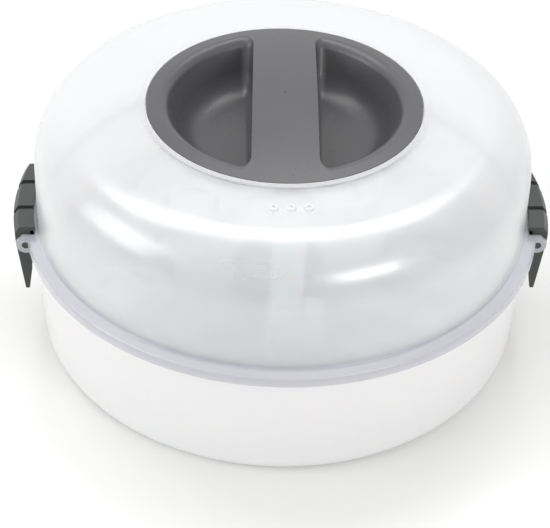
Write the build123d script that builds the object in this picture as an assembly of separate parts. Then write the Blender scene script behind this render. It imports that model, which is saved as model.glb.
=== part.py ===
from build123d import *
from math import asin, cos, degrees, radians, sin, sqrt
import os

# A round microwave steam sterilizer for feeding bottles: a white water bowl, a rack that
# stands in it, a pair of tongs, and a clear dome lid with a grey grip plate and two side
# clips. Millimetres, +Z up, the lid's clips on the X axis, the vents towards -Y. The origin
# is the centre of the underside.

# Clearances
seat_gap = 0.3
slide_gap = 0.4
pin_gap = 0.06
leg_gap = 0.1

# Bowl
bowl_rim_radius = 131.8
bowl_draft = 1.6
bowl_wall = 2.4
bowl_floor = 3.0
bowl_corner_radius = 8.0
bowl_inner_corner = 5.6
bowl_rim_height = 69.0
bowl_lip_reach = 2.8
bowl_lip_drop = 5.8
bowl_lip_wall = 1.8
foot_ring_width = 17.2
foot_recess = 1.2
water_mark_inset = 34.2
water_mark_height = 1.0
water_mark_width = 1.6

# Lid dome
dome_wall = 2.2
dome_foot_inset = 1.8
dome_draft = 2.0
dome_top_fall = 2.6
seat_rise = 1.1
dome_shoulder_radius = 28.0
flange_thickness = 2.2
skirt_gap = 0.5
skirt_drop = 3.4
skirt_wall = 1.4
locating_lip_depth = 5.0
locating_lip_wall = 1.8

# Grip plate in the lid, and the seat that carries it
plate_radius = 70.5
plate_rim_height = 136.3
plate_crown = 5.2
plate_thickness = 2.6
seat_ring_width = 3.0
seat_radial_gap = 0.5
seat_ledge_reach = 5.5
seat_ledge_thickness = 2.2
plate_turn = -1.6
grip_bar_width = 33.0
pocket_mouth_inset = 9.5
pocket_side_run = 11.0
pocket_depth = 22.5
pocket_wall = 2.0
pocket_mouth_fillet = 6.0
pocket_floor_fillet = 16.0
pocket_bar_fillet = 5.0
gate_mark_radius = 1.6
gate_mark_height = 0.6
hook_count = 6
hook_start_angle = 30.0
hook_width = 10.0
hook_wall = 1.8
hook_reach = 1.3
hook_barb_height = 2.4

# Steam vents in the lid
vent_count = 3
vent_spacing = 8.3
vent_offset = 17.5
vent_boss_radius = 2.6
vent_boss_height = 1.4
vent_hole_radius = 0.8

# Side clips, their hinges and the breaks in the flange and the lip for them
hinge_reach = 2.2
hinge_drop = 3.0
trunnion_radius = 2.0
trunnion_end_gap = 0.2
ear_radius = 4.8
ear_thickness = 2.8
ear_root_inset = 3.0
clip_half_width = 28.0
clip_side_gap = 0.35
clip_wall = 2.4
clip_end_wall = 2.5
clip_top_rise = 4.5
clip_top_reach = 5.6
clip_dome_gap = 1.6
clip_knee_reach = 8.2
clip_knee_rise = 0.5
clip_knee_fall = 0.3
clip_tail_reach = 5.4
clip_tail_drop = 31.5
clip_groove_offset = 11.2
clip_groove_width = 3.3
clip_groove_depth = 1.5
clip_side_drop = 9.3
catch_drop = 16.5
catch_bite = 1.5
catch_thickness = 3.6
catch_half_angle = 7.6
catch_ledge_reach = 3.0
catch_ledge_thickness = 2.4
catch_ledge_half_angle = 6.8
lip_break_side_gap = 1.5
flange_break_step = 0.8

# Rack
rack_turn = 6.0
rack_bowl_gap = 9.2
rack_leg_length = 10.9
rack_plate = 2.2
rack_wall = 1.8
rack_wall_height = 16.0
well_count = 6
well_inset = 36.6
well_radius = 30.0
well_wall = 1.6
well_height = 12.0
well_slot_count = 4
well_slot_length = 17.0
well_slot_width = 3.6
well_slot_distance = 15.0
finger_radius = 2.0
finger_height = 26.0
leg_radius = 4.0
leg_inset = 20.6
hub_radius = 26.0
hub_wall = 1.8
hub_height = 14.0
hub_hole_radius = 4.0
hub_hole_count = 6
hub_hole_distance = 16.0
rim_slot_length = 20.0
rim_slot_width = 3.6
rim_slot_inset = 8.0

# Fork that holds the tongs
fork_inset = 26.0
fork_thickness = 2.4
fork_height = 37.8
fork_foot_width = 31.6
fork_top_width = 28.0
fork_lobe_radius = 6.0
fork_slot_width = 9.4
fork_slot_depth = 19.5
fork_side_depth = 16.0
fork_side_height = 22.0

# Tongs
tongs_width = 16.0
tongs_shift = -4.0
tongs_wall = 2.0
tongs_headroom = 18.3
tongs_leg_spacing = 9.0
tongs_tip_gap = 0.8
tongs_rib_height = 1.4
tongs_rib_width = 1.6
tongs_rib_length = 30.0
tongs_tooth_radius = 0.9
tongs_tooth_count = 4
tongs_tooth_pitch = 4.0
tongs_fork_gap = 1.5


bowl_foot_radius = bowl_rim_radius - bowl_draft
foot_ring_inner = bowl_foot_radius - foot_ring_width
water_mark_radius = bowl_foot_radius - water_mark_inset


def bowl_radius_at(height):
    """Outer radius of the bowl's tapered wall."""
    share = height / bowl_rim_height
    return bowl_foot_radius + (bowl_rim_radius - bowl_foot_radius) * share


# Places that follow from the sizes: the lid's flange, shell and plate seat
flange_underside = bowl_rim_height + seat_gap
flange_top = flange_underside + flange_thickness
bowl_lip_radius = bowl_rim_radius + bowl_lip_reach
flange_radius = bowl_lip_radius + skirt_gap + skirt_wall
dome_foot_radius = bowl_rim_radius - dome_foot_inset
dome_top_radius = dome_foot_radius - dome_draft
dome_crown_height = plate_rim_height - seat_rise
dome_shoulder_height = dome_crown_height - dome_top_fall
lip_inner_radius = bowl_rim_radius - bowl_wall - slide_gap
plate_underside = plate_rim_height - plate_thickness
ledge_top = plate_underside - seat_gap
seat_ledge_inner = plate_radius - seat_ledge_reach
ledge_underside = ledge_top - seat_ledge_thickness
pocket_mouth_radius = plate_radius - pocket_mouth_inset
pocket_floor_radius = pocket_mouth_radius - pocket_side_run
vent_distance = plate_radius + vent_offset
seat_inner_radius = plate_radius + seat_radial_gap
seat_outer_radius = seat_inner_radius + seat_ring_width
cap_radius = (plate_radius**2 + plate_crown**2) / (2 * plate_crown)

# The hinges and clips, set out from the bowl's rim and the flange
hinge_distance = bowl_rim_radius + hinge_reach
hinge_height = flange_underside - hinge_drop
ear_root_radius = dome_foot_radius - ear_root_inset
clip_inner_radius = dome_foot_radius + clip_dome_gap
clip_top_radius = hinge_distance + clip_top_reach
clip_knee_radius = hinge_distance + clip_knee_reach
clip_tail_radius = hinge_distance + clip_tail_reach
clip_top_height = flange_top + clip_top_rise
clip_knee_top = flange_top + clip_knee_rise
clip_knee_low = hinge_height - clip_knee_fall
clip_side_low = hinge_height - clip_side_drop
clip_tail_height = hinge_height - clip_tail_drop
catch_height = hinge_height - catch_drop
flange_break_radius = clip_inner_radius + flange_break_step
ear_inner = clip_half_width + clip_side_gap
ear_outer = ear_inner + ear_thickness
lip_break_half_width = ear_outer + lip_break_side_gap
ledge_radius = bowl_radius_at(catch_height) + catch_ledge_reach

# The rack, its fork and the tongs, set out from the bowl and its floor
rack_floor_height = bowl_floor + leg_gap + rack_leg_length
rack_floor_top = rack_floor_height + rack_plate
rack_radius = bowl_rim_radius - rack_bowl_gap
well_distance = rack_radius - well_inset
leg_distance = rack_radius - leg_inset
rim_slot_distance = well_distance - rim_slot_inset
fork_distance = well_distance - fork_inset
fork_top_height = rack_floor_top + fork_height
tongs_top_height = plate_rim_height - tongs_headroom
tongs_tip_height = rack_floor_top + tongs_tip_gap
tongs_front = -(fork_distance - fork_thickness / 2 - tongs_fork_gap)


def ring(outer, inner, low, high):
    """A plain ring about the Z axis."""
    tube = Cylinder(outer, high - low) - Cylinder(inner, high - low)
    return Pos(0, 0, (low + high) / 2) * tube


def upright(radius, height, x, y, low):
    """A vertical round post standing at (x, y) with its foot at low."""
    return Pos(x, y, low + height / 2) * Cylinder(radius, height)


def block(size_x, size_y, low, high, x=0.0, y=0.0):
    """A box centred on (x, y) that reaches from low to high."""
    return Pos(x, y, (low + high) / 2) * Box(size_x, size_y, high - low)


def turned(points, fillets=()):
    """A solid of revolution about Z from (radius, height) points, with chosen corners rounded."""
    face = Plane.XZ * make_face(Polyline(*points, close=True))
    for radius, height, size in fillets:
        corner = Vector(radius, 0, height)
        vertex = min(face.vertices(), key=lambda v: (Vector(*v) - corner).length)
        face = fillet_face(face, vertex, size)
    return revolve(face, Axis.Z)


def fillet_face(face, vertex, size):
    """The face with one of its corners rounded."""
    return face.faces()[0].fillet_2d(size, [vertex])


def make_bowl():
    """The white water bowl with its turned-down lip, foot ring and water mark."""
    rim = bowl_rim_height
    lip_low = rim - bowl_lip_drop
    lip_in = bowl_lip_radius - bowl_lip_wall
    under_rim = rim - bowl_wall
    inner_rim = bowl_rim_radius - bowl_wall
    inner_foot = bowl_radius_at(bowl_floor) - bowl_wall
    profile = [
        (0, foot_recess),
        (foot_ring_inner, foot_recess),
        (foot_ring_inner, 0),
        (bowl_foot_radius, 0),
        (bowl_radius_at(under_rim), under_rim),
        (lip_in, under_rim),
        (lip_in, lip_low),
        (bowl_lip_radius, lip_low),
        (bowl_lip_radius, rim),
        (inner_rim, rim),
        (inner_foot, bowl_floor),
        (0, bowl_floor),
    ]
    rounds = [
        (bowl_foot_radius, 0, bowl_corner_radius),
        (inner_foot, bowl_floor, bowl_inner_corner),
        (bowl_lip_radius, rim, bowl_wall / 2),
    ]
    mark = ring(
        water_mark_radius,
        water_mark_radius - water_mark_width,
        bowl_floor,
        bowl_floor + water_mark_height,
    )
    bowl = turned(profile, rounds) + mark
    gap_tool = block(
        lip_break_half_width,
        2 * lip_break_half_width,
        lip_low - bowl_wall,
        rim + bowl_wall,
        bowl_lip_radius,
    ) - Cylinder(bowl_rim_radius, 4 * rim)
    for turn in (0, 180):
        bowl -= Rot(0, 0, turn) * gap_tool
        bowl += Rot(0, 0, turn) * catch_ledge()
    return bowl


def catch_ledge():
    """The ledge on the bowl's wall that a clip hooks under, with a lead-in on its top."""
    low = catch_height + seat_gap
    root = bowl_radius_at(low) - bowl_wall / 2
    section = make_face(
        Polyline(
            (root, low),
            (ledge_radius, low),
            (ledge_radius, low + catch_ledge_thickness / 3),
            (root, low + 2 * catch_ledge_thickness),
            close=True,
        )
    )
    return sweep_round(section, catch_ledge_half_angle)


def dome_height_at(radius):
    """Outer height of the lid's gently sloping top."""
    run = dome_top_radius - seat_outer_radius
    slope = (dome_crown_height - dome_shoulder_height) / run
    return dome_crown_height - (radius - seat_outer_radius) * slope


def make_dome_shell():
    """The turned shell of the lid: flange, skirt, locating lip, wall, top and plate seat."""
    skirt_low = flange_underside - skirt_drop
    skirt_in = flange_radius - skirt_wall
    lip_in = lip_inner_radius - locating_lip_wall
    lip_low = flange_underside - locating_lip_depth
    outer_corner = (dome_top_radius, dome_shoulder_height)
    inner_corner = (dome_top_radius - dome_wall, dome_shoulder_height - dome_wall)
    profile = [
        (dome_foot_radius, flange_top),
        outer_corner,
        (seat_outer_radius, dome_crown_height),
        (seat_outer_radius, plate_rim_height),
        (seat_inner_radius, plate_rim_height),
        (seat_inner_radius, ledge_top),
        (seat_ledge_inner, ledge_top),
        (seat_ledge_inner, ledge_underside),
        (seat_outer_radius, ledge_underside),
        inner_corner,
        (dome_foot_radius - dome_wall, flange_top),
        (lip_in, flange_underside),
        (lip_in, lip_low),
        (lip_inner_radius, lip_low),
        (lip_inner_radius, flange_underside),
        (skirt_in, flange_underside),
        (skirt_in, skirt_low),
        (flange_radius, skirt_low),
        (flange_radius, flange_top),
    ]
    rounds = [
        (*outer_corner, dome_shoulder_radius),
        (*inner_corner, dome_shoulder_radius - dome_wall),
        (dome_foot_radius, flange_top, dome_wall / 2),
        (flange_radius, flange_top, skirt_wall / 2),
    ]
    return turned(profile, rounds)


def vent_places():
    """Where the steam vents stand in plan."""
    middle = (vent_count - 1) / 2
    return [((i - middle) * vent_spacing, -vent_distance) for i in range(vent_count)]


def add_vents(shell):
    """Raised vent bosses on the lid's top, each with a hole through it."""
    top = dome_height_at(vent_distance)
    for x, y in vent_places():
        low = top - dome_wall / 2
        boss = upright(vent_boss_radius, dome_wall / 2 + vent_boss_height, x, y, low)
        shell += fillet(boss.edges().group_by(Axis.Z)[-1], vent_boss_height / 2)
    for x, y in vent_places():
        height = 6 * dome_wall
        shell -= upright(vent_hole_radius, height, x, y, top - height / 2)
    return shell


def along_hinge(section, length, y):
    """A section drawn in the XZ plane, given a length along the hinge and centred on y."""
    sheet = Plane.XZ * section
    return Pos(0, y, 0) * extrude(sheet, length / 2, both=True)


def sweep_round(face, half_angle):
    """A radial section turned about Z through an angle each side of the X axis."""
    start = Rot(0, 0, -half_angle) * (Plane.XZ * face)
    return revolve(start, Axis.Z, revolution_arc=2 * half_angle)


def add_flange_breaks(shell):
    """A break in the flange and its skirt behind each clip."""
    flange_break = block(
        ear_inner,
        2 * ear_inner,
        flange_underside - skirt_drop - skirt_wall,
        flange_top + skirt_wall,
        flange_radius,
    ) - Cylinder(flange_break_radius, 4 * flange_top)
    for turn in (0, 180):
        shell -= Rot(0, 0, turn) * flange_break
    return shell


def make_ear(side):
    """One hinge ear of the right-hand bracket: an eye on an arm that joins the flange."""
    reach = hinge_distance + ear_radius
    arm = make_face(
        Polyline(
            (ear_root_radius, flange_underside),
            (ear_root_radius, flange_top),
            (hinge_distance + ear_radius / 3, flange_top),
            (reach, flange_top - ear_radius * 2 / 3),
            (reach, hinge_height),
            (hinge_distance - ear_radius, hinge_height),
            (hinge_distance - ear_radius, flange_underside),
            close=True,
        )
    )
    eye = Pos(hinge_distance, hinge_height) * Circle(ear_radius)
    return along_hinge(arm + eye, ear_thickness, side * (ear_inner + ear_thickness / 2))


def add_ears(shell):
    """Two hinge ears at each side of the lid, bored for the clip's trunnions."""
    bore = along_hinge(
        Pos(hinge_distance, hinge_height) * Circle(trunnion_radius + pin_gap),
        2 * ear_outer,
        0,
    )
    for turn in (0, 180):
        for side in (-1, 1):
            shell += Rot(0, 0, turn) * make_ear(side)
    for turn in (0, 180):
        shell -= Rot(0, 0, turn) * bore
    return shell


def make_dome():
    """The clear lid."""
    return add_ears(add_flange_breaks(add_vents(make_dome_shell())))


def cap_solid(radius, thickness):
    """A disc cut from a spherical cap: its top is crowned, its underside follows."""
    centre = plate_rim_height + plate_crown - cap_radius
    outer = Pos(0, 0, centre) * Sphere(cap_radius)
    inner = Pos(0, 0, centre) * Sphere(cap_radius - thickness)
    deep = plate_crown + thickness * 2
    column = Pos(0, 0, plate_rim_height) * Cylinder(radius, deep * 2)
    return (column & outer) - inner


def cap_height_at(radius):
    """Height of the grip plate's crowned top at a distance from its centre."""
    centre = plate_rim_height + plate_crown - cap_radius
    return centre + sqrt(cap_radius**2 - radius**2)


def pocket_tool(grow):
    """One scooped finger recess as a solid, grown all round by the wall where asked."""
    low = plate_rim_height - pocket_depth - grow
    mouth = pocket_mouth_radius + grow
    mouth_height = cap_height_at(mouth)
    far = plate_radius
    far_height = mouth_height - (far - mouth) * mouth / cap_radius
    high = far_height + 2 * plate_crown
    corner = (mouth, mouth_height)
    bend = (pocket_floor_radius + grow, low)
    profile = [
        (0, low),
        bend,
        corner,
        (far, far_height),
        (far, high),
        (0, high),
    ]
    rounds = [(*bend, pocket_floor_fillet + grow)]
    if grow == 0:
        rounds.append((*corner, pocket_mouth_fillet))
    dish = turned(profile, rounds)
    bar_side = grip_bar_width / 2 - grow
    half = dish & block(far, 2 * far, low, high, bar_side + far / 2)
    edges = [
        e
        for e in half.edges()
        if abs(e.bounding_box().min.X - bar_side) < 0.01
        and abs(e.bounding_box().max.X - bar_side) < 0.01
        and e.bounding_box().min.Z < plate_rim_height - pocket_mouth_fillet
    ]
    return fillet(edges, pocket_bar_fillet + grow)


def snap_hook(angle):
    """One snap hook under the grip plate, which grips the ledge of the lid."""
    outer = seat_ledge_inner - seat_radial_gap
    low = ledge_underside - seat_gap - hook_barb_height
    arm = ring(outer, outer - hook_wall, low, plate_underside + plate_thickness / 2)
    barb_outer = outer + hook_reach
    barb = turned(
        [
            (outer - hook_wall, low),
            (outer, low),
            (barb_outer, low + hook_barb_height - seat_gap),
            (barb_outer, low + hook_barb_height),
            (outer - hook_wall, low + hook_barb_height),
        ]
    )
    reach = barb_outer * 2
    window = Pos(reach / 2, 0, 0) * block(
        reach, hook_width, low, plate_underside + plate_thickness
    )
    return Rot(0, 0, angle) * ((arm + barb) & window)


def make_plate():
    """The grey grip plate: a crowned disc with two scooped pockets beside a bar."""
    plate = cap_solid(plate_radius, plate_thickness)
    solid = pocket_tool(pocket_wall)
    hollow = pocket_tool(0)
    centre = plate_rim_height + plate_crown - cap_radius
    trim = Pos(0, 0, centre) * Sphere(cap_radius - plate_thickness / 2)
    for turn in (0, 180):
        plate += Rot(0, 0, turn) * (solid & trim)
    for index in range(hook_count):
        plate += snap_hook(hook_start_angle + index * 360 / hook_count)
    for turn in (0, 180):
        plate -= Rot(0, 0, turn) * hollow
    top = plate_rim_height + plate_crown
    gate = Pos(0, 0, top - gate_mark_height / 2) * Cone(
        gate_mark_radius, gate_mark_radius / 3, gate_mark_height * 2
    )
    return Rot(0, 0, plate_turn) * (plate + gate)


def clip_skin(inset):
    """Solid under the clip's top and outer face, set in by a distance, between flat ends."""
    top = clip_top_height - inset
    section = make_face(
        Polyline(
            (clip_inner_radius, top),
            (clip_top_radius - inset, top),
            (clip_knee_radius - inset, clip_knee_top),
            (clip_knee_radius - inset, clip_knee_low),
            (clip_tail_radius - inset, clip_tail_height),
            (clip_inner_radius, clip_tail_height),
            close=True,
        )
    )
    wide = degrees(asin(clip_half_width / clip_inner_radius)) * 1.2
    flat = block(
        clip_knee_radius * 3, 2 * (clip_half_width - inset), 0, clip_top_height
    )
    return sweep_round(section, wide) & flat


def clip_side_region():
    """Side view of the clip's end walls, cut back where they swing past the lid and bowl."""
    far = clip_knee_radius * 1.1
    bulge = clip_inner_radius + trunnion_radius / 2
    tail_inner = clip_tail_radius - clip_wall * 2
    points = [
        (far, clip_top_height),
        (clip_inner_radius, clip_top_height),
        (clip_inner_radius, clip_side_low),
        (bulge, catch_height - catch_thickness),
        (tail_inner, clip_tail_height),
        (far, clip_tail_height),
    ]
    return make_face(Polyline(*points, close=True))


def catch_section():
    """Side view of the catch that reaches under the bowl's ledge."""
    top = catch_height
    inner = ledge_radius - catch_bite
    outer = clip_tail_radius - clip_wall / 2
    return make_face(
        Polyline(
            (inner, top),
            (outer, top),
            (outer, top - 2 * catch_thickness),
            (inner, top - catch_thickness),
            close=True,
        )
    )


def make_clip():
    """The right-hand clip: a hollow curved lever with trunnions, a catch and two grooves."""
    skin = clip_skin(0)
    between = block(
        clip_knee_radius * 3, 2 * (clip_half_width - clip_end_wall), 0, clip_top_height
    )
    cover = skin - clip_skin(clip_wall)
    top_plate = skin & block(
        clip_knee_radius * 3,
        2 * clip_half_width,
        clip_top_height - clip_wall,
        clip_top_height,
    )
    sides = (skin & along_hinge(clip_side_region(), 2 * clip_half_width, 0)) - between
    clip = (cover & between) + top_plate + sides
    clip += sweep_round(catch_section(), catch_half_angle)
    for place in (-clip_groove_offset, clip_groove_offset):
        slab = block(
            clip_knee_radius * 3, clip_groove_width, clip_knee_low, clip_top_height, 0, place
        )
        clip -= slab - clip_skin(clip_groove_depth)
    length = 2 * (ear_outer - trunnion_end_gap)
    trunnions = along_hinge(
        Pos(hinge_distance, hinge_height) * Circle(trunnion_radius), length, 0
    )
    return clip + (trunnions - between)


def well_angles():
    """Directions of the bottle wells, with a gap between two of them facing -Y."""
    step = 360 / well_count
    return [-90 + step / 2 + index * step for index in range(well_count)]


def polar(distance, angle):
    """Plan position at a distance and direction from the centre."""
    return distance * cos(radians(angle)), distance * sin(radians(angle))


def slot_tool(length, width, distance, angle, x=0.0, y=0.0):
    """A round-ended slot cut through the rack's plate."""
    shape = extrude(SlotOverall(length, width), rack_plate * 2, both=True)
    placed = Rot(0, 0, angle) * Pos(distance, 0, 0) * Rot(0, 0, 90) * shape
    return Pos(x, y, rack_floor_height + rack_plate / 2) * placed


def make_collars():
    """The low collars that stand round the bottles."""
    collar = ring(
        well_radius, well_radius - well_wall, rack_floor_top, rack_floor_top + well_height
    )
    return [Pos(*polar(well_distance, angle), 0) * collar for angle in well_angles()]


def make_posts(radius, low, high):
    """Round posts midway between neighbouring bottles."""
    step = 360 / well_count
    places = [polar(leg_distance, angle + step / 2) for angle in well_angles()]
    return [upright(radius, high - low, x, y, low) for x, y in places]


def make_fingers():
    """Short upright fingers with rounded tips."""
    posts = make_posts(finger_radius, rack_floor_top, rack_floor_top + finger_height)
    return [
        fillet(post.edges().group_by(Axis.Z)[-1], finger_radius * 0.8) for post in posts
    ]


def make_fork():
    """The upright fork at the front of the rack, with side cheeks that guide the tongs."""
    low = rack_floor_top
    half_foot = fork_foot_width / 2
    half_top = fork_top_width / 2
    blade = make_face(
        Polyline(
            (-half_foot, low),
            (half_foot, low),
            (half_top, fork_top_height),
            (-half_top, fork_top_height),
            close=True,
        )
    )
    tops = blade.vertices().group_by(Axis.Y)[-1]
    blade = blade.faces()[0].fillet_2d(fork_lobe_radius, tops)
    slot_low = fork_top_height - fork_slot_depth
    slot = Pos(0, slot_low + fork_slot_width / 2 + fork_slot_depth) * SlotOverall(
        2 * fork_slot_depth + fork_slot_width, fork_slot_width, 90
    )
    blade -= slot
    body = along_hinge(blade, fork_thickness, -fork_distance)
    cheek_y = -fork_distance + fork_side_depth / 2
    for side in (-1, 1):
        cheek_x = tongs_shift + side * (tongs_width / 2 + slide_gap + rack_wall / 2)
        body += block(
            rack_wall, fork_side_depth, low, low + fork_side_height, cheek_x, cheek_y
        )
    return body


def make_rack_plate():
    """The rack's plate with its steam slots and holes."""
    low = rack_floor_height
    plate = ring(rack_radius, hub_hole_radius, low, low + rack_plate)
    for angle in well_angles():
        x, y = polar(well_distance, angle)
        for index in range(well_slot_count):
            turn = angle + 45 + index * 360 / well_slot_count
            plate -= slot_tool(
                well_slot_length, well_slot_width, well_slot_distance, turn, x, y
            )
        plate -= slot_tool(
            rim_slot_length, rim_slot_width, rim_slot_distance, angle + 180 / well_count
        )
    for index in range(hub_hole_count):
        x, y = polar(hub_hole_distance, index * 360 / hub_hole_count)
        plate -= upright(hub_hole_radius, rack_plate * 4, x, y, low - rack_plate)
    return plate


def make_rack():
    """The removable bottle rack, by node name: all of it stands on or under one plate."""
    top = rack_floor_top
    rim_top = rack_floor_height + rack_wall_height
    rack = {
        "bottle_rack": make_rack_plate(),
        "rack_rim": ring(rack_radius, rack_radius - rack_wall, top, rim_top),
        "rack_hub": ring(hub_radius, hub_radius - hub_wall, top, top + hub_height),
        "rack_fork": make_fork(),
    }
    groups = {
        "rack_collar": make_collars(),
        "rack_finger": make_fingers(),
        "rack_leg": make_posts(leg_radius, bowl_floor + leg_gap, rack_floor_height),
    }
    for name, copies in groups.items():
        for index, shape in enumerate(copies):
            rack[f"{name}_{index + 1}"] = shape
    return {name: Rot(0, 0, rack_turn) * shape for name, shape in rack.items()}


def tongs_section():
    """Side view of the bent strap, front leg at y = 0 and bend at the top."""
    gap_radius = tongs_leg_spacing / 2 - tongs_wall / 2
    outer_radius = gap_radius + tongs_wall
    bend_height = tongs_top_height - outer_radius
    bend = Pos(outer_radius, bend_height) * (Circle(outer_radius) - Circle(gap_radius))
    bend &= Pos(outer_radius, bend_height + outer_radius) * Rectangle(
        outer_radius * 2, outer_radius * 2
    )
    legs = Rectangle(tongs_wall, bend_height - tongs_tip_height)
    middle = (bend_height + tongs_tip_height) / 2
    front = Pos(tongs_wall / 2, middle) * legs
    back = Pos(2 * outer_radius - tongs_wall / 2, middle) * legs
    return bend + front + back


def make_tongs():
    """One-piece strap tongs, standing bend up behind the fork."""
    section = Plane.YZ * tongs_section()
    strap = extrude(section, tongs_width / 2, both=True)
    tip_round = tongs_width / 3
    plan = Pos(0, (tongs_top_height + tongs_tip_height) / 2) * RectangleRounded(
        tongs_width, tongs_top_height - tongs_tip_height, tip_round
    )
    square_top = Pos(0, tongs_top_height - tongs_width / 2) * Rectangle(
        tongs_width, tongs_width
    )
    mask = extrude(Plane.XZ * (plan + square_top), -tongs_leg_spacing * 2, both=True)
    strap &= mask
    for side in (-1, 1):
        rib_x = side * (tongs_width - tongs_rib_width) / 2
        rib_low = tongs_top_height - tongs_leg_spacing / 2 - tongs_rib_length
        strap += block(
            tongs_rib_width,
            tongs_rib_height + tongs_wall / 2,
            rib_low,
            rib_low + tongs_rib_length - tongs_wall,
            rib_x,
            tongs_wall / 2 - (tongs_rib_height + tongs_wall / 2) / 2,
        )
    for index in range(tongs_tooth_count):
        height = tongs_tip_height + tongs_width / 3 + index * tongs_tooth_pitch
        for y in (tongs_wall, tongs_leg_spacing):
            tooth = Pos(0, y, height) * Rot(0, 90, 0) * Cylinder(
                tongs_tooth_radius, tongs_width / 2
            )
            strap += tooth
    return Rot(0, 0, rack_turn) * Pos(tongs_shift, tongs_front, 0) * strap


def main():
    os.makedirs("parts", exist_ok=True)
    clip = make_clip()
    half_turn = Rot(0, 0, 180)
    pieces = {
        "base_bowl": make_bowl(),
        **make_rack(),
        "tongs": make_tongs(),
        "lid_dome": make_dome(),
        "grip_plate": make_plate(),
        "clip_right": clip,
        "clip_left": half_turn * clip,
    }
    for name, shape in pieces.items():
        export_step(shape, f"parts/{name}.step")


main()
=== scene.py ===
import math

import bpy
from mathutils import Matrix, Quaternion, Vector

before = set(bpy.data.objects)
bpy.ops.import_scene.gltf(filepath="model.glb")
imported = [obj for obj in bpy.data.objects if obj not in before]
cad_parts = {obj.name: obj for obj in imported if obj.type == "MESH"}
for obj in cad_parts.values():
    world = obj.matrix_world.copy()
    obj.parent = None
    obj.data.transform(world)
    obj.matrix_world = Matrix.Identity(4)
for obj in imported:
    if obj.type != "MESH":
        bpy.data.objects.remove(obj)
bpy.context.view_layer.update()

# The photograph's camera, in pixels, millimetres of sensor, metres and degrees
IMAGE_WIDTH = 550
FOCAL_PIXELS = 1500
SENSOR_WIDTH = 36.0
CAMERA_AT = (-0.03365, -0.64056, 0.56002)
CAMERA_LOOKS_AT = (-0.00241, 0.00008, 0.02788)
CAMERA_ROLL = 1.79

# Floor
FLOOR_SIZE = 6.0
FLOOR_COLOUR = (0.85, 0.85, 0.842, 1)
FLOOR_ROUGHNESS = 0.22
FLOOR_SPECULAR = 0.35
FLOOR_GLOW = 0.075

# Light
WORLD_COLOUR = (1.0, 1.0, 1.0, 1)
WORLD_LIGHT = 0.65
LAMPS = [
    # name, place, target, size, watts
    ("overhead", (-0.10, 0.56, 1.35), (0.0, 0.0, 0.1), (1.7, 0.5), 9.5),
    ("left", (-1.5, -0.35, 0.85), (0.0, 0.0, 0.05), (1.0, 0.9), 7.5),
    ("front", (0.95, -1.35, 0.85), (0.0, 0.0, 0.05), (0.8, 0.5), 6.5),
]

# Solid plastics: colour, roughness, how far both wander, and the grain's noise scale and its
# depth in metres; sockets are constant values of the shader
SOLID_PLASTICS = {
    "bowl_white": {
        "colour": (0.905, 0.90, 0.905, 1),
        "colour_change": 0.012,
        "roughness": 0.22,
        "roughness_change": 0.04,
        "grain_scale": 900.0,
        "grain_depth": 0.00004,
        "sockets": {
            "Coat Weight": 0.35,
            "Coat Roughness": 0.08,
            "Subsurface Weight": 0.12,
            "Subsurface Scale": 0.004,
        },
    },
    "plate_grey": {
        "colour": (0.096, 0.095, 0.100, 1),
        "colour_change": 0.05,
        "roughness": 0.30,
        "roughness_change": 0.05,
        "grain_scale": 2600.0,
        "grain_depth": 0.00004,
        "sockets": {"Specular IOR Level": 0.5},
    },
    "clip_grey": {
        "colour": (0.044, 0.050, 0.046, 1),
        "colour_change": 0.08,
        "roughness": 0.45,
        "roughness_change": 0.07,
        "grain_scale": 2200.0,
        "grain_depth": 0.00008,
        "sockets": {},
    },
}

# See-through plastics: how much of the plastic shows face on and edge on, how much light it
# holds back, how much light scatters in it, and its reflections' least share and roughness
CLEAR_PLASTICS = {
    "dome_clear": {
        "colour": (0.93, 0.933, 0.94, 1),
        "face_on": 0.29,
        "edge_on": 0.76,
        "shadow": 0.0,
        "scatter": 0.0,
        "reflection": 0.09,
        "roughness": 0.25,
        "has_thick_places": True,
    },
    "rack_milky": {
        # Partly painted shade: the milky plastic's colour is darkened and tinted blue-grey to
        # stand in for the shade inside the bowl
        "colour": (0.72, 0.75, 0.80, 1),
        "face_on": 0.6,
        "edge_on": 0.8,
        "shadow": 0.2,
        "scatter": 0.0,
        "reflection": 0.02,
        "roughness": 0.3,
    },
    "fork_milky": {
        "colour": (0.95, 0.955, 0.96, 1),
        "face_on": 0.96,
        "edge_on": 0.98,
        "shadow": 0.05,
        "scatter": 0.9,
        "reflection": 0.02,
        "roughness": 0.25,
    },
    "tongs_milky": {
        "colour": (0.93, 0.932, 0.94, 1),
        "face_on": 0.94,
        "edge_on": 0.98,
        "shadow": 0.05,
        "scatter": 0.9,
        "reflection": 0.02,
        "roughness": 0.25,
    },
}

# What every see-through plastic shares: its body, its veil, and the reflections on its skin
BODY_ROUGHNESS = 0.5
BODY_COLOUR_CHANGE = 0.015
BODY_ROUGHNESS_CHANGE = 0.05
BODY_GRAIN_SCALE = 700.0
BODY_GRAIN_DEPTH = 0.00003
SCATTER_DEPTH = 0.012
VEIL_BLEND = 0.35
GLOSS_BLEND = 0.5
GLOSS_POWER = 4.0
MOST_GLOSS = 0.75
GLOSS_COLOUR = (0.92, 0.925, 0.93, 1)

# Noise: the values that are spread out, and the scale and detail of what it drives
NOISE_LOW = 0.3
NOISE_HIGH = 0.7
FLOW_SCALE = 9.0
GLOSS_SCALE = 34.0
CLOUD_SCALE = 6.0
SOFT_DETAIL = 3.0
GRAIN_DETAIL = 2.0
GRAIN_ROUGHNESS = 0.6
CLOUD_LOW = 0.94
CLOUD_HIGH = 1.06
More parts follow.
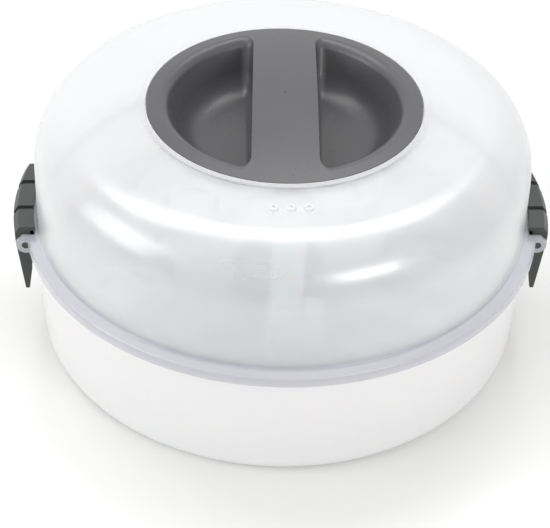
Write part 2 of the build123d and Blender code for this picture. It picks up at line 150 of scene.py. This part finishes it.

# Where the lid is thicker and so milkier, in metres, and how dense it is there; the flange's
# darker lavender-grey colour is painted shade, not the plastic's own colour
FLANGE_LOW = 0.0600
FLANGE_HIGH = 0.0722
FLANGE_FADE = 0.0006
# Painted shade: a darker lavender-grey on the flange band, standing in for shade seen through the
# thin plastic
FLANGE_PAINTED_SHADE = (0.62, 0.62, 0.67, 1)
FLANGE_DENSITY = 0.55
SEAT_INNER = 0.0708
SEAT_OUTER = 0.0729
SEAT_LOW = 0.1338
SEAT_FADE = 0.0003
VENT_PLACES = [(-0.0083, -0.088, 0.1345), (0.0, -0.088, 0.1345), (0.0083, -0.088, 0.1345)]
VENT_REACH = 0.0030
VENT_FADE = 0.0005
RAISED_COLOUR = CLEAR_PLASTICS["dome_clear"]["colour"]
RAISED_DENSITY = 0.45
ABOVE_ALL = 1.0
BELOW_ALL = -1.0

# The finish of each moulding; every other node is part of the rack
FINISHES = {
    "base_bowl": "bowl_white",
    "rack_fork": "fork_milky",
    "tongs": "tongs_milky",
    "lid_dome": "dome_clear",
    "grip_plate": "plate_grey",
    "clip_right": "clip_grey",
    "clip_left": "clip_grey",
}
RACK_FINISH = "rack_milky"

# The two inputs and the result of a mix node, which has one set for each kind of data
MIX_SOCKETS = {"FLOAT": (2, 3, 0), "RGBA": (6, 7, 2)}


def node(tree, kind, **settings):
    """A shader node with its sockets and settings filled in."""
    made = tree.nodes.new(kind)
    for name, value in settings.items():
        if name in made.inputs:
            made.inputs[name].default_value = value
        else:
            setattr(made, name, value)
    return made


def set_inputs(shader, values):
    """Constant values on a shader's own sockets."""
    for name, value in values.items():
        shader.inputs[name].default_value = value


def new_material(name):
    """An empty node material with its output."""
    material = bpy.data.materials.new(name)
    material.use_nodes = True
    tree = material.node_tree
    tree.nodes.clear()
    return material, tree, node(tree, "ShaderNodeOutputMaterial")


def calculate(tree, operation, first, second, clamp=False):
    """A sum of two values, each a constant or another node's result."""
    made = node(tree, "ShaderNodeMath", operation=operation, use_clamp=clamp)
    for socket, value in zip(made.inputs, (first, second)):
        if isinstance(value, float):
            socket.default_value = value
        else:
            tree.links.new(value, socket)
    return made.outputs[0]


def ramp(tree, value, start, end, low=0.0, high=1.0):
    """A value's way from start to end, turned into low to high and held at both ends."""
    made = node(tree, "ShaderNodeMapRange")
    set_inputs(made, {"From Min": start, "From Max": end, "To Min": low, "To Max": high})
    tree.links.new(value, made.inputs["Value"])
    return made.outputs["Result"]


def mixed(tree, kind, share, first, second):
    """Two colours or two values, constant or linked, mixed by a share of the second."""
    made = node(tree, "ShaderNodeMix", data_type=kind)
    *places, result = MIX_SOCKETS[kind]
    tree.links.new(share, made.inputs[0])
    for place, value in zip(places, (first, second)):
        if isinstance(value, bpy.types.NodeSocket):
            tree.links.new(value, made.inputs[place])
        else:
            made.inputs[place].default_value = value
    return made.outputs[result]


def noise(tree, scale, detail, roughness=0.5):
    """Noise in object coordinates, so that it sits still on the object."""
    place = node(tree, "ShaderNodeTexCoord")
    made = node(tree, "ShaderNodeTexNoise")
    set_inputs(made, {"Scale": scale, "Detail": detail, "Roughness": roughness})
    tree.links.new(place.outputs["Object"], made.inputs["Vector"])
    return made.outputs["Fac"]


def spread(tree, value, low, high):
    """A noise value spread between two limits."""
    return ramp(tree, value, NOISE_LOW, NOISE_HIGH, low, high)


def shaded(tree, share, colour, change):
    """A colour that varies a little, darker and lighter, with a noise value."""
    darker = tuple(c * (1 - change) for c in colour[:3]) + (1,)
    lighter = tuple(min(1.0, c * (1 + change)) for c in colour[:3]) + (1,)
    return mixed(tree, "RGBA", share, darker, lighter)


def bump(tree, height, distance):
    """A bump normal from a height value; distance in metres."""
    made = node(tree, "ShaderNodeBump")
    set_inputs(made, {"Strength": 1.0, "Distance": distance})
    tree.links.new(height, made.inputs["Height"])
    return made.outputs["Normal"]


def plastic(
    name, colour, colour_change, roughness, roughness_change, grain_scale, grain_depth, sockets
):
    """Moulded plastic: a fine grain, uneven gloss and a faint flow of colour."""
    material, tree, out = new_material(name)
    shader = node(tree, "ShaderNodeBsdfPrincipled")
    set_inputs(shader, sockets)
    flow = noise(tree, FLOW_SCALE, SOFT_DETAIL)
    gloss = spread(
        tree,
        noise(tree, GLOSS_SCALE, SOFT_DETAIL),
        roughness - roughness_change,
        roughness + roughness_change,
    )
    grain = noise(tree, grain_scale, GRAIN_DETAIL, GRAIN_ROUGHNESS)
    links = tree.links
    links.new(shaded(tree, flow, colour, colour_change), shader.inputs["Base Color"])
    links.new(gloss, shader.inputs["Roughness"])
    links.new(bump(tree, grain, grain_depth), shader.inputs["Normal"])
    links.new(shader.outputs["BSDF"], out.inputs["Surface"])
    return material, tree, shader


def between(tree, value, low, high, fade):
    """One where a value lies between two limits, nought outside them, with a soft edge."""
    rise = ramp(tree, value, low - fade, low)
    fall = ramp(tree, value, high, high + fade, 1.0, 0.0)
    return calculate(tree, "MULTIPLY", rise, fall)


def thick_places(tree):
    """Masks of the lid's flange, and of the ring and bosses that stand on its top."""
    place = node(tree, "ShaderNodeTexCoord").outputs["Object"]
    split = node(tree, "ShaderNodeSeparateXYZ")
    flat = node(tree, "ShaderNodeVectorMath", operation="MULTIPLY")
    flat.inputs[1].default_value = (1, 1, 0)
    radius = node(tree, "ShaderNodeVectorMath", operation="LENGTH")
    tree.links.new(place, split.inputs[0])
    tree.links.new(place, flat.inputs[0])
    tree.links.new(flat.outputs["Vector"], radius.inputs[0])
    height = split.outputs["Z"]
    flange = between(tree, height, FLANGE_LOW, FLANGE_HIGH, FLANGE_FADE)
    ring = between(tree, radius.outputs["Value"], SEAT_INNER, SEAT_OUTER, SEAT_FADE)
    top = between(tree, height, SEAT_LOW, ABOVE_ALL, SEAT_FADE)
    raised = calculate(tree, "MULTIPLY", ring, top)
    for centre in VENT_PLACES:
        away = node(tree, "ShaderNodeVectorMath", operation="DISTANCE")
        away.inputs[1].default_value = centre
        tree.links.new(place, away.inputs[0])
        boss = between(tree, away.outputs["Value"], BELOW_ALL, VENT_REACH, VENT_FADE)
        raised = calculate(tree, "MAXIMUM", raised, boss)
    return flange, raised


def denser_and_recoloured(tree, shader, mask, colour, density):
    """Makes a see-through body denser and of another colour where a mask says."""
    for name, kind, value in (("Base Color", "RGBA", colour), ("Alpha", "FLOAT", density)):
        socket = shader.inputs[name]
        before = socket.links[0].from_socket
        tree.links.new(mixed(tree, kind, mask, before, value), socket)


def veil(tree, shader, face_on, edge_on):
    """See-through plastic: more of it shows where the wall is seen edge on."""
    weight = node(tree, "ShaderNodeLayerWeight", Blend=VEIL_BLEND)
    cloud = spread(tree, noise(tree, CLOUD_SCALE, SOFT_DETAIL), CLOUD_LOW, CLOUD_HIGH)
    seen = ramp(tree, weight.outputs["Facing"], 0.0, 1.0, face_on, edge_on)
    hazy = calculate(tree, "MULTIPLY", seen, cloud, clamp=True)
    tree.links.new(hazy, shader.inputs["Alpha"])


def let_light_in(tree, shader, shadow):
    """Lets more light through than the eye sees through, as thin milky plastic does."""
    socket = shader.inputs["Alpha"]
    path = node(tree, "ShaderNodeLightPath")
    before = socket.links[0].from_socket
    tree.links.new(mixed(tree, "FLOAT", path.outputs["Is Shadow Ray"], before, shadow), socket)


def gloss_over(tree, shader, out, least, roughness):
    """Lays reflections over a see-through body, stronger where it is seen edge on."""
    weight = node(tree, "ShaderNodeLayerWeight", Blend=GLOSS_BLEND)
    steep = calculate(tree, "POWER", weight.outputs["Facing"], GLOSS_POWER)
    share = ramp(tree, steep, 0.0, 1.0, least, MOST_GLOSS)
    gloss = node(tree, "ShaderNodeBsdfAnisotropic", Color=GLOSS_COLOUR, Roughness=roughness)
    both = node(tree, "ShaderNodeMixShader")
    tree.links.new(share, both.inputs[0])
    tree.links.new(shader.outputs["BSDF"], both.inputs[1])
    tree.links.new(gloss.outputs["BSDF"], both.inputs[2])
    tree.links.new(both.outputs["Shader"], out.inputs["Surface"])


def clear_plastic(
    name, colour, face_on, edge_on, shadow, scatter, reflection, roughness, has_thick_places=False
):
    """Plastic that shows what is behind it, with clear reflections on its skin."""
    sockets = {
        "Specular IOR Level": 0.0,
        "Subsurface Weight": scatter,
        "Subsurface Scale": SCATTER_DEPTH,
    }
    material, tree, shader = plastic(
        name, colour, BODY_COLOUR_CHANGE, BODY_ROUGHNESS, BODY_ROUGHNESS_CHANGE,
        BODY_GRAIN_SCALE, BODY_GRAIN_DEPTH, sockets,
    )
    veil(tree, shader, face_on, edge_on)
    if has_thick_places:
        flange, raised = thick_places(tree)
        # The flange is denser, and its darker lavender-grey colour is painted shade; the ring and
        # bosses are only denser
        denser_and_recoloured(tree, shader, flange, FLANGE_PAINTED_SHADE, FLANGE_DENSITY)
        denser_and_recoloured(tree, shader, raised, RAISED_COLOUR, RAISED_DENSITY)
    let_light_in(tree, shader, shadow)
    gloss_over(tree, shader, tree.nodes["Material Output"], reflection, roughness)
    return material


def make_materials():
    """One finish for each kind of moulding."""
    made = {name: plastic(name, **values)[0] for name, values in SOLID_PLASTICS.items()}
    for name, values in CLEAR_PLASTICS.items():
        made[name] = clear_plastic(name, **values)
    return made


def dress_nodes(materials):
    """Gives every moulding its finish."""
    for name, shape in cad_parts.items():
        shape.data.materials.clear()
        shape.data.materials.append(materials[FINISHES.get(name, RACK_FINISH)])


def white_to_eye(tree, strength):
    """A strength that only rays from the eye, or mirrored or seen through, pick up."""
    path = node(tree, "ShaderNodeLightPath")
    picked_up = path.outputs["Is Camera Ray"]
    for ray in ("Is Glossy Ray", "Is Transmission Ray"):
        picked_up = calculate(tree, "MAXIMUM", picked_up, path.outputs[ray])
    return calculate(tree, "MULTIPLY", picked_up, strength)


def make_floor():
    """A pale floor that keeps the object's shadow and meets a white backdrop."""
    half = FLOOR_SIZE / 2
    mesh = bpy.data.meshes.new("floor")
    corners = [(-half, -half, 0), (half, -half, 0), (half, half, 0), (-half, half, 0)]
    mesh.from_pydata(corners, [], [(0, 1, 2, 3)])
    floor = bpy.data.objects.new("floor", mesh)
    bpy.context.scene.collection.objects.link(floor)
    material, tree, out = new_material("floor")
    shader = node(tree, "ShaderNodeBsdfPrincipled")
    set_inputs(
        shader,
        {
            "Base Color": FLOOR_COLOUR,
            "Roughness": FLOOR_ROUGHNESS,
            "Specular IOR Level": FLOOR_SPECULAR,
        },
    )
    glow = node(tree, "ShaderNodeEmission")
    both = node(tree, "ShaderNodeAddShader")
    tree.links.new(white_to_eye(tree, FLOOR_GLOW), glow.inputs["Strength"])
    tree.links.new(shader.outputs["BSDF"], both.inputs[0])
    tree.links.new(glow.outputs["Emission"], both.inputs[1])
    tree.links.new(both.outputs["Shader"], out.inputs["Surface"])
    floor.data.materials.append(material)


def make_world():
    """Even white surroundings: white to the eye, softer as light on the object."""
    world = bpy.data.worlds.new("studio")
    world.use_nodes = True
    tree = world.node_tree
    tree.nodes.clear()
    out = node(tree, "ShaderNodeOutputWorld")
    background = node(tree, "ShaderNodeBackground", Color=WORLD_COLOUR)
    extra = white_to_eye(tree, 1 - WORLD_LIGHT)
    tree.links.new(calculate(tree, "ADD", extra, WORLD_LIGHT), background.inputs["Strength"])
    tree.links.new(background.outputs["Background"], out.inputs["Surface"])
    bpy.context.scene.world = world


def aim(thing, target, roll=0.0):
    """Turns a lamp or the camera to look at a point, then rolls it about its own axis."""
    look = (Vector(target) - Vector(thing.location)).to_track_quat("-Z", "Y")
    thing.rotation_mode = "QUATERNION"
    thing.rotation_quaternion = look @ Quaternion((0, 0, 1), math.radians(roll))


def make_lamps():
    """Large soft lamps."""
    for name, place, target, size, watts in LAMPS:
        data = bpy.data.lights.new(name, "AREA")
        data.shape = "RECTANGLE"
        data.size, data.size_y = size
        data.energy = watts
        lamp = bpy.data.objects.new(name, data)
        lamp.location = place
        aim(lamp, target)
        bpy.context.scene.collection.objects.link(lamp)


def make_camera():
    """The photograph's camera."""
    data = bpy.data.cameras.new("camera")
    data.sensor_width = SENSOR_WIDTH
    data.lens = SENSOR_WIDTH * FOCAL_PIXELS / IMAGE_WIDTH
    camera = bpy.data.objects.new("camera", data)
    camera.location = CAMERA_AT
    aim(camera, CAMERA_LOOKS_AT, CAMERA_ROLL)
    bpy.context.scene.collection.objects.link(camera)
    bpy.context.scene.camera = camera


make_camera()
make_world()
make_lamps()
make_floor()
dress_nodes(make_materials())
bpy.context.scene.view_settings.view_transform = "Standard"
